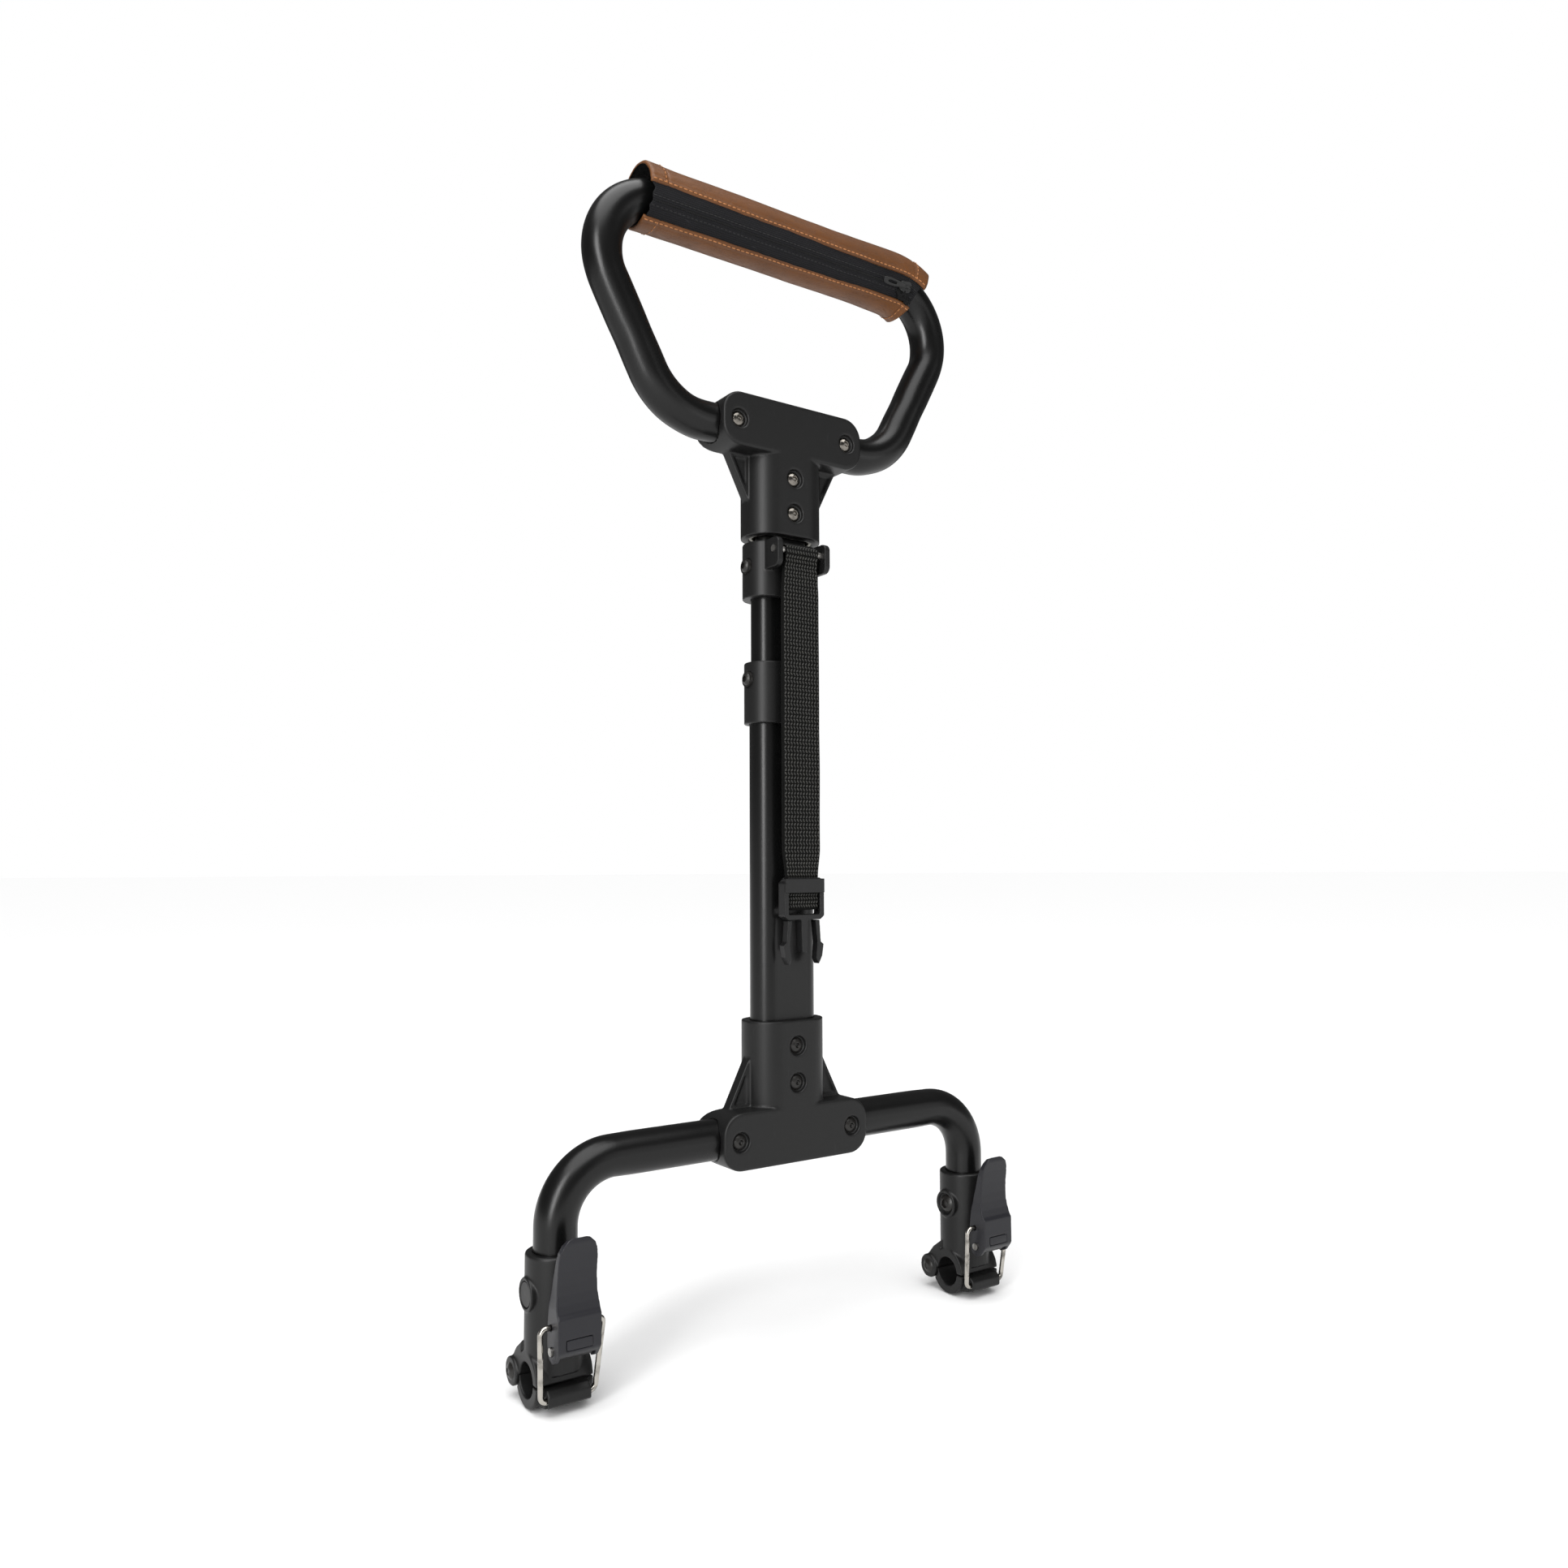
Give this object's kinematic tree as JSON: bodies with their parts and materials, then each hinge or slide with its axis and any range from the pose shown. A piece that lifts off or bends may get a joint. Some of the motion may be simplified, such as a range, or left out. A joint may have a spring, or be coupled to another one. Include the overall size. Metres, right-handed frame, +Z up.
{
  "type": "telescopic clamp-on handle",
  "caption": "Telescopic pull handle: padded loop grip, oval sliding post with strap, tube frame and lever clamps that grip a round bar.",
  "frame": {"origin": "on the axis of the two clamp bores, midway between the clamps", "axes": "+X along the clamp bores, +Z up the post, -Y towards the levers and the strap"},
  "size_m": [0.3124, 0.053, 0.6535],
  "materials": {
    "powder": "satin black powder coat",
    "moulded": "fine-grained matte black",
    "lever": "smooth satin black",
    "steel": "bright drawn wire",
    "nickel": "nickel plated",
    "blackscrew": "black oxide",
    "pin": "turned",
    "bare": "saw-cut",
    "bush": "smooth",
    "webbing": "woven herringbone webbing",
    "buckle": "semi-gloss black",
    "foam": "closed-cell foam",
    "leather": "pebbled brown leatherette",
    "tape": "woven zip tape",
    "slider": "black lacquered"
  },
  "bodies": {
    "frame": {"lower_frame_tube": "powder", "lower_bracket": "moulded", "lower_bracket_bar_bolts": "blackscrew", "lower_bracket_bar_nuts": "pin", "lower_bracket_post_screws": "blackscrew", "outer_post_tube": "powder", "lower_collar": "moulded", "lower_collar_screw": "blackscrew", "left_clamp_body": "moulded", "left_cross_bolt": "blackscrew", "left_bolt_cover": "moulded", "left_lever_pin": "pin", "left_jaw_pin": "blackscrew", "right_clamp_body": "moulded", "right_cross_bolt": "blackscrew", "right_bolt_cover": "moulded", "right_lever_pin": "pin", "right_jaw_pin": "blackscrew"},
    "middle_stage": {"middle_post_tube": "powder", "upper_collar": "moulded", "upper_collar_screw": "blackscrew", "strap_bar": "pin"},
    "handle": {"inner_post_tube": "powder", "inner_foot_bush": "bush", "head_sleeve_tube": "bare", "head_bush": "bush", "upper_bracket": "moulded", "upper_bracket_bar_bolts": "nickel", "upper_bracket_bar_nuts": "pin", "upper_bracket_post_screws": "nickel", "handle_loop_tube": "powder", "grip_foam": "foam", "grip_cover": "leather", "zip_tape": "tape"},
    "strap": {"strap": "webbing", "buckle_body": "buckle"},
    "buckle_arm_left": {"buckle_arm_left": "buckle"},
    "buckle_arm_right": {"buckle_arm_right": "buckle"},
    "zip_slider": {"zip_slider": "slider"},
    "zip_pull": {"zip_pull": "slider"},
    "left_lever": {"left_clamp_lever": "lever"},
    "left_bail": {"left_clamp_bail": "steel"},
    "left_jaw": {"left_clamp_jaw": "moulded"},
    "right_lever": {"right_clamp_lever": "lever"},
    "right_bail": {"right_clamp_bail": "steel"},
    "right_jaw": {"right_clamp_jaw": "moulded"}
  },
  "joints": [
    {"name": "middle_stage_slide", "type": "slide", "parent": "frame", "child": "middle_stage", "axis": [0, 0, 1], "range_m": [-0.032, 0.16]},
    {"name": "handle_slide", "type": "slide", "parent": "middle_stage", "child": "handle", "axis": [0, 0, 1], "range_m": [0, 0.19]},
    {"name": "strap_swing", "type": "hinge", "parent": "middle_stage", "child": "strap", "pos_m": [0, -0.0196, 0.4305], "axis": [1, 0, 0], "range_deg": [-150, 0]},
    {"name": "buckle_arm_left_squeeze", "type": "hinge", "parent": "strap", "child": "buckle_arm_left", "pos_m": [-0.0094, -0.0196, 0.2207], "axis": [0, 1, 0], "range_deg": [-9, 0], "stiffness_Nm_per_rad": 0.15},
    {"name": "buckle_arm_right_squeeze", "type": "hinge", "parent": "strap", "child": "buckle_arm_right", "pos_m": [0.0094, -0.0196, 0.2207], "axis": [0, 1, 0], "range_deg": [0, 9], "stiffness_Nm_per_rad": 0.15},
    {"name": "zip_slide", "type": "slide", "parent": "handle", "child": "zip_slider", "axis": [-1, 0, 0], "range_m": [0, 0.17]},
    {"name": "zip_pull_swing", "type": "hinge", "parent": "zip_slider", "child": "zip_pull", "pos_m": [0.084, -0.01995, 0.61139], "axis": [0, -0.4695, 0.8829], "range_deg": [0, 150]},
    {"name": "left_lever_open", "type": "hinge", "parent": "frame", "child": "left_lever", "pos_m": [-0.1383, -0.022, 0.0196], "axis": [1, 0, 0], "range_deg": [0, 135]},
    {"name": "left_bail_swing", "type": "hinge", "parent": "left_lever", "child": "left_bail", "pos_m": [-0.1383, -0.0208, 0.0305], "axis": [1, 0, 0], "range_deg": [-155.5, 0]},
    {"name": "left_jaw_open", "type": "hinge", "parent": "frame", "child": "left_jaw", "pos_m": [-0.1383, 0.016, -0.0005], "axis": [1, 0, 0], "range_deg": [0, 68]},
    {"name": "right_lever_open", "type": "hinge", "parent": "frame", "child": "right_lever", "pos_m": [0.1383, -0.022, 0.0196], "axis": [1, 0, 0], "range_deg": [0, 135]},
    {"name": "right_bail_swing", "type": "hinge", "parent": "right_lever", "child": "right_bail", "pos_m": [0.1383, -0.0208, 0.0305], "axis": [1, 0, 0], "range_deg": [-155.5, 0]},
    {"name": "right_jaw_open", "type": "hinge", "parent": "frame", "child": "right_jaw", "pos_m": [0.1383, 0.016, -0.0005], "axis": [1, 0, 0], "range_deg": [0, 68]}
  ],
  "couplings": [
    {"joint": "left_bail_swing", "follows": "left_lever_open", "ratio": -1.15},
    {"joint": "left_jaw_open", "follows": "left_lever_open", "ratio": 0.5},
    {"joint": "right_bail_swing", "follows": "right_lever_open", "ratio": -1.15},
    {"joint": "right_jaw_open", "follows": "right_lever_open", "ratio": 0.5}
  ]
}
